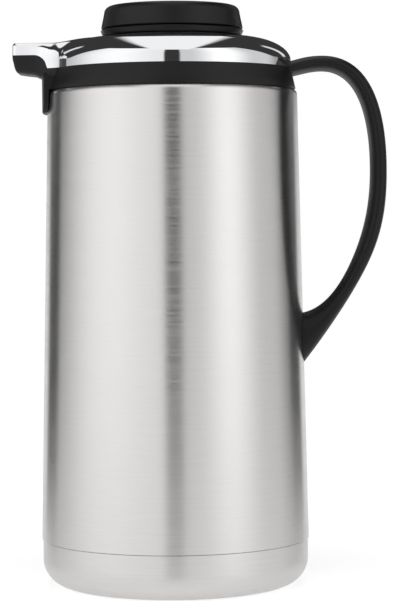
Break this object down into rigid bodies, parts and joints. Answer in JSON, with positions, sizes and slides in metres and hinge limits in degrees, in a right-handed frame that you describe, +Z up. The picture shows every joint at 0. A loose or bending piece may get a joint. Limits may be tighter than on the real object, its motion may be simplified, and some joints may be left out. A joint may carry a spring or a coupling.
{
  "type": "thermal carafe",
  "caption": "Upright glass lined thermal carafe: brushed casing, bright domed shoulder with roofed spout, band handle and round turning stopper.",
  "frame": {"origin": "on the casing's axis, on the plane that the base cap's foot ring rests on", "axes": "+Z up along the casing's axis; the spout points to -X and the handle to +X"},
  "size_m": [0.1827, 0.1318, 0.2855],
  "materials": {
    "brushed_steel": "fine brushing round the casing, satin",
    "bright_chrome": "mirror bright plating",
    "black_plastic": "satin moulded black",
    "handle_plastic": "satin moulded black",
    "knob_plastic": "satin moulded black",
    "stopper_plastic": "satin moulded black",
    "inner_plastic": "plain moulded dark grey",
    "silvered_glass": "silvered vacuum glass",
    "clear_glass": "clear",
    "silicone": "soft translucent white",
    "screw_steel": "zinc plated steel",
    "foam": "open insulating foam"
  },
  "bodies": {
    "carafe": {"outer_casing": "brushed_steel", "base_cap": "brushed_steel", "base_ring": "inner_plastic", "base_insert": "inner_plastic", "glass_seat": "silicone", "glass_outer": "silvered_glass", "glass_inner": "clear_glass", "glass_pads": "silicone", "neck_gasket": "silicone", "neck_tube": "inner_plastic", "collar": "black_plastic", "shoulder_dome": "bright_chrome", "handle": "handle_plastic", "handle_top_screws": "screw_steel", "handle_foot_plate": "screw_steel", "handle_foot_screw": "screw_steel"},
    "neck_seal": {"sleeve_gasket": "silicone"},
    "stopper": {"stopper_sleeve": "stopper_plastic", "stem_seal": "silicone"},
    "pour_valve": {"plug_seal": "silicone"},
    "knob": {"stopper_plug": "inner_plastic", "plug_foam": "foam", "plug_end_cap": "inner_plastic", "stopper_knob": "knob_plastic", "knob_base": "inner_plastic", "knob_screw": "screw_steel"}
  },
  "joints": [
    {"name": "stopper_lift_off", "type": "slide", "parent": "carafe", "child": "neck_seal", "axis": [0, 0, 1], "range_m": [0, 0.09]},
    {"name": "stopper_unlock", "type": "hinge", "parent": "neck_seal", "child": "stopper", "pos_m": [0, 0, 0.27], "axis": [0, 0, 1], "range_deg": [0, 60]},
    {"name": "plug_rise", "type": "slide", "parent": "stopper", "child": "pour_valve", "axis": [0, 0, 1], "range_m": [0, 0.005]},
    {"name": "knob_turn", "type": "hinge", "parent": "pour_valve", "child": "knob", "pos_m": [0, 0, 0.27], "axis": [0, 0, 1], "range_deg": [0, 180]}
  ],
  "couplings": [
    {"joint": "plug_rise", "follows": "knob_turn", "m_per_rad": 0.0015915}
  ]
}
